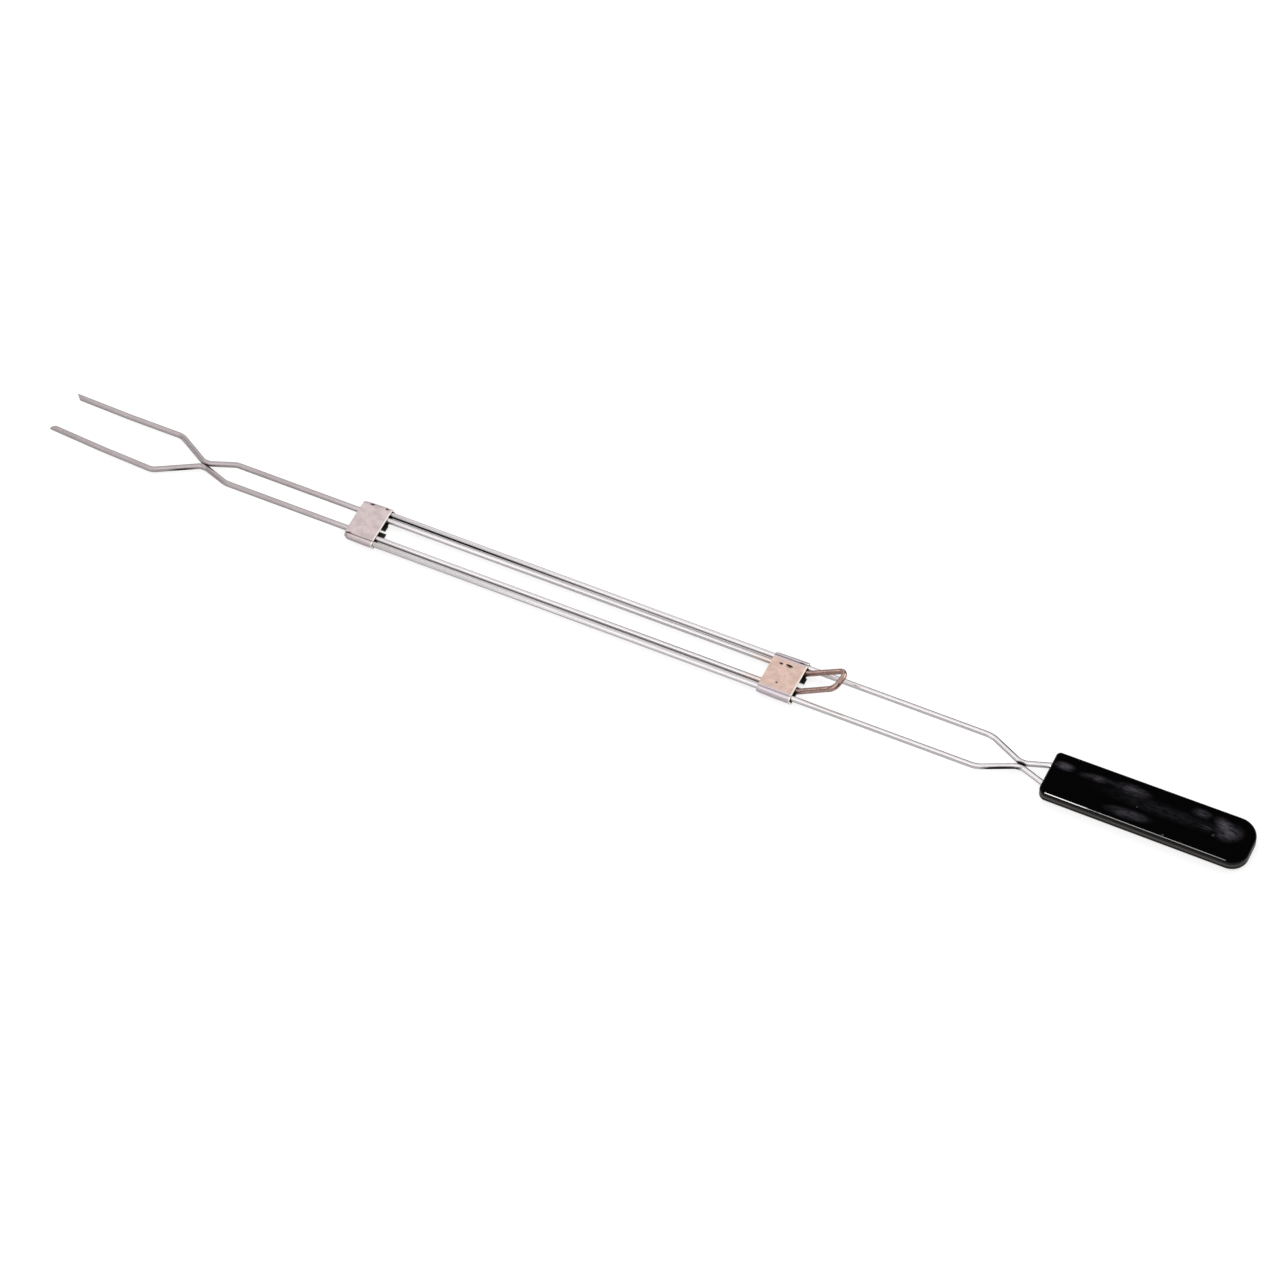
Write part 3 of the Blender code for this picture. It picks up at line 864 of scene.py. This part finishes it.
def add_grip_scale(name, inner_z, outer_z, finish):
    """Half of the grip: rounded along its outer edge, and slightly along the parting line."""
    bm = bmesh.new()
    up = 1.0 if outer_z > inner_z else -1.0
    levels = [(0.00025, 0.0), (0.00007, 0.00007), (0.0, 0.00025)]
    height = abs(outer_z - inner_z)
    steps = 14
    for i in range(steps + 1):
        angle = math.pi / 2 * i / steps
        inset = GRIP_EDGE_RADIUS * (1 - math.cos(angle))
        levels.append((inset, height - GRIP_EDGE_RADIUS * (1 - math.sin(angle))))
    rings = []
    for inset, z in levels:
        ring = [bm.verts.new((p.x, p.y, inner_z + up * z)) for p in grip_outline(inset)]
        rings.append(ring)
    for first, second in zip(rings, rings[1:]):
        count = len(first)
        for i in range(count):
            j = (i + 1) % count
            bm.faces.new((first[i], first[j], second[j], second[i]))
    bm.faces.new(rings[0])
    bm.faces.new(rings[-1])
    bmesh.ops.recalc_face_normals(bm, faces=bm.faces)
    return add_mesh(name, bm, finish)


def add_grip(finish, pin_finish):
    """Both halves of the grip, with channels for the rails and the pin's hole, and the pin."""
    lower = add_grip_scale("grip_lower", PLANE_Z - PARTING_WIDTH / 2, GRIP_LOW.z, finish)
    upper = add_grip_scale("grip_upper", PLANE_Z + PARTING_WIDTH / 2, GRIP_HIGH.z, finish)
    pin_x = (PIN_LOW.x + PIN_HIGH.x) / 2
    pin_y = (PIN_LOW.y + PIN_HIGH.y) / 2
    pin_radius = (PIN_HIGH.x - PIN_LOW.x) / 2
    for scale in (lower, upper):
        for side_name, side in SIDES.items():
            path = bent_path(rail_corners(side)[3:])
            last = (path[-1] - path[-2]).normalized()
            path[-1] = path[-1] + last * CHANNEL_GAP
            channel = wire_bmesh(path, WIRE_RADIUS + CHANNEL_CLEARANCE)
            cut(scale, add_cutter(f"channel_{side_name}", channel))
        hole_radius = pin_radius + PIN_CLEARANCE
        hole = cylinder_bmesh(hole_radius, pin_x, pin_y, -CUT_PAST, GRIP_HIGH.z + CUT_PAST)
        cut(scale, add_cutter("pin_hole", hole))
        apply_modifiers(scale)
        shade(scale)
    pin = add_mesh(
        "pin_end", cylinder_bmesh(pin_radius, pin_x, pin_y, PIN_LOW.z, PIN_HIGH.z), pin_finish
    )
    soften_ends(pin, PIN_EDGE)
    apply_modifiers(pin)
    shade(pin)
    return lower, upper, pin


# ---------------------------------------------------------------------------------------------
# Studio
# ---------------------------------------------------------------------------------------------

CAMERA_AZIMUTH = math.radians(24.97)
CAMERA_ELEVATION = math.radians(52.38)
CAMERA_DISTANCE = 3.2
CAMERA_TARGET = Vector((0.00405, -0.00957, PLANE_Z))
FOCAL_PER_WIDTH = 4.665
SENSOR_WIDTH = 36.0
FLOOR_SIZE = 8.0
FLOOR_GAP = 0.0002
FLOOR_GLOW = (0.20, 0.72)
ROOM_GLOW = (0.05, 1.0)
TENT_RADIUS = 1.06


def add_camera():
    """A long lens that looks down at the fork from its left, a little from the grip's end."""
    data = bpy.data.cameras.new("camera")
    data.sensor_width = SENSOR_WIDTH
    data.lens = FOCAL_PER_WIDTH * SENSOR_WIDTH
    data.clip_end = 50.0
    camera = bpy.data.objects.new("camera", data)
    bpy.context.scene.collection.objects.link(camera)
    back = Vector(
        (
            math.sin(CAMERA_AZIMUTH) * math.cos(CAMERA_ELEVATION),
            -math.cos(CAMERA_AZIMUTH) * math.cos(CAMERA_ELEVATION),
            math.sin(CAMERA_ELEVATION),
        )
    )
    camera.location = CAMERA_TARGET + CAMERA_DISTANCE * back
    camera.rotation_euler = (math.pi / 2 - CAMERA_ELEVATION, 0.0, CAMERA_AZIMUTH)
    bpy.context.scene.camera = camera


def add_panel(name, centre, target, size, radiance, linked, state):
    """Soft rectangular light facing the target, lit to this radiance, unseen by the camera.

    It lights only the linked objects (INCLUDE), or everything but them (EXCLUDE).
    """
    data = bpy.data.lights.new(name, "AREA")
    data.shape = "RECTANGLE"
    data.size, data.size_y = size
    data.energy = radiance * math.pi * size[0] * size[1]
    panel = bpy.data.objects.new(name, data)
    bpy.context.scene.collection.objects.link(panel)
    panel.location = centre
    panel.rotation_euler = (Vector(target) - Vector(centre)).to_track_quat("-Z", "Y").to_euler()
    panel.visible_camera = False
    group = bpy.data.collections.new(name + "_linked")
    for obj in linked:
        group.objects.link(obj)
    for entry in group.collection_objects:
        entry.light_linking.link_state = state
    panel.light_linking.receiver_collection = group


def add_floor():
    """A pale table. It looks near white to the camera, and a quieter grey in the fork's gloss."""
    bm = bmesh.new()
    bmesh.ops.create_grid(bm, x_segments=1, y_segments=1, size=FLOOR_SIZE)
    finish = Finish("pale_table", Roughness=0.9, Specular_IOR_Level=0.0)
    tone = finish.noise((3.0, 3.0, 3.0), detail=2.0)
    finish.color(finish.mix(tone, (0.52, 0.52, 0.52), (0.48, 0.48, 0.48)))
    finish.shader.inputs["Emission Color"].default_value = (1.0, 1.0, 1.0, 1.0)
    seen = finish.node("ShaderNodeLightPath").outputs["Is Camera Ray"]
    glow = finish.node("ShaderNodeMapRange")
    finish.link(seen, glow.inputs["Value"])
    glow.inputs["To Min"].default_value, glow.inputs["To Max"].default_value = FLOOR_GLOW
    finish.link(glow.outputs["Result"], finish.shader.inputs["Emission Strength"])
    floor = add_mesh("table", bm, finish.material)
    floor.location.z = -FLOOR_GAP


def add_world():
    """A dim room: a plain pale backdrop to the camera, and a soft fill to everything else."""
    world = bpy.data.worlds.new("room")
    world.use_nodes = True
    bpy.context.scene.world = world
    tree = world.node_tree
    background = tree.nodes["Background"]
    light_path = tree.nodes.new("ShaderNodeLightPath")
    strength = tree.nodes.new("ShaderNodeMapRange")
    strength.inputs["To Min"].default_value, strength.inputs["To Max"].default_value = ROOM_GLOW
    tree.links.new(light_path.outputs["Is Camera Ray"], strength.inputs["Value"])
    tree.links.new(strength.outputs["Result"], background.inputs["Strength"])
    background.inputs["Color"].default_value = (1.0, 0.985, 0.98, 1.0)


# Panels round the X axis: ends along X, limits of the angle in degrees from +Y up, radiance. The
# front is the camera's side (-Y), and left is beyond the tines (-X).
TENT = {
    "front_wall": ((-0.60, 0.64), (92, 140), 1.30),
    "front_skirt_left": ((-0.60, -0.20), (142, 178), 0.95),
    "front_skirt_right": ((-0.19, 0.80), (142, 178), 0.50),
    "left_wall": ((-1.30, -0.61), (92, 178), 0.70),
    "overhead": ((-0.90, 0.40), (33, 90), 0.90),
    "left_ceiling": ((-1.30, -0.91), (33, 90), 0.75),
    "back_wall": ((-1.30, -0.17), (4, 31), 0.80),
}
GRIP_STRIPS = {
    "grip_strip": ((-0.12, 0.05), (138, 158), 80.0),
    "grip_strip_rear": ((0.06, 0.20), (140, 157), 25.0),
}


def add_tent_panel(name, ends, angles, radiance, grip, state):
    """One panel of the tent, which lights only the grip or everything but it."""
    middle = math.radians(sum(angles) / 2)
    half = math.radians(angles[1] - angles[0]) / 2
    x = sum(ends) / 2
    centre = (x, TENT_RADIUS * math.cos(middle), TENT_RADIUS * math.sin(middle))
    size = (ends[1] - ends[0], 2 * TENT_RADIUS * math.tan(half))
    add_panel(name, centre, (x, 0.0, 0.0), size, radiance, grip, state)


def add_studio(grip):
    """Camera, table, room and lights.

    Walls of light stand round the fork, dimmer beyond its tines and near the table. The grip keeps
    out of them and has strips of its own.
    """
    add_camera()
    add_floor()
    add_world()
    for name, panel in TENT.items():
        add_tent_panel(name, *panel, grip, "EXCLUDE")
    for name, panel in GRIP_STRIPS.items():
        add_tent_panel(name, *panel, grip, "INCLUDE")
    add_panel("kicker", (0.75, 0.64, 0.55), (0.0, 0.0, 0.0), (0.90, 0.80), 1.8, grip, "EXCLUDE")
    add_panel("left_end", (-1.5, 0.0, 0.34), (0.1, 0.0, 0.0), (1.30, 0.50), 1.3, grip, "EXCLUDE")
    bpy.context.scene.view_settings.view_transform = "Standard"
    bpy.context.scene.view_settings.look = "None"


# ---------------------------------------------------------------------------------------------
# The fork
# ---------------------------------------------------------------------------------------------


def place(piece, body, slot, *nodes):
    """This piece moves with the body and stands for these solids. The slot is not used."""
    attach(piece, body)
    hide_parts(*nodes)


def build_fork():
    """Adds every piece, and gives the grip's, which the lights treat apart."""
    wire = wire_finish()
    inside_shade = inside_shade_finish()
    front = clip_finish(
        "clip_plating_front",
        (0.78, 0.65, 0.65),
        (0.64, 0.55, 0.565),
        FRONT_CLIP_SHADE_MARKS,
        FRONT_CLIP_FOLDS,
        FRONT_CLIP_LOBE_SHADE,
        FRONT_CLIP_HIGH.x,
    )
    rear = clip_finish(
        "clip_plating_rear",
        (0.86, 0.625, 0.53),
        (0.70, 0.62, 0.67),
        REAR_CLIP_SHADE_MARKS,
        REAR_CLIP_FOLDS,
        REAR_CLIP_LOBE_SHADE,
        REAR_CLIP_HIGH.x,
    )
    for name, side in SIDES.items():
        rod = add_fork_rod(f"rod_{name}", side, wire)
        place(rod, "fork", "chrome_wire", f"fork_rod_{name}")
        rail = add_wire(f"rail_{name}", rail_corners(side), wire)
        place(rail, "handle", "chrome_wire", f"handle_rail_{name}")
    place(add_front_clip([front, inside_shade]), "handle", "clip_plating", "front_clip")
    place(add_rear_clip([rear, inside_shade]), "fork", "clip_plating", "rear_clip")
    loop_corners = loop_leg_corners(1) + loop_leg_corners(-1)[::-1]
    loop = add_wire("loop_wire", loop_corners, copper_finish())
    place(loop, "fork", "copper_wire", "thumb_loop")
    lower, upper, pin = add_grip(plastic_finish(), steel_finish())
    place(lower, "handle", "black_plastic", "grip_lower_scale")
    place(upper, "handle", "black_plastic", "grip_upper_scale")
    place(pin, "handle", "pin_steel", "grip_pin")
    return [lower, upper, pin]


add_studio(build_fork())
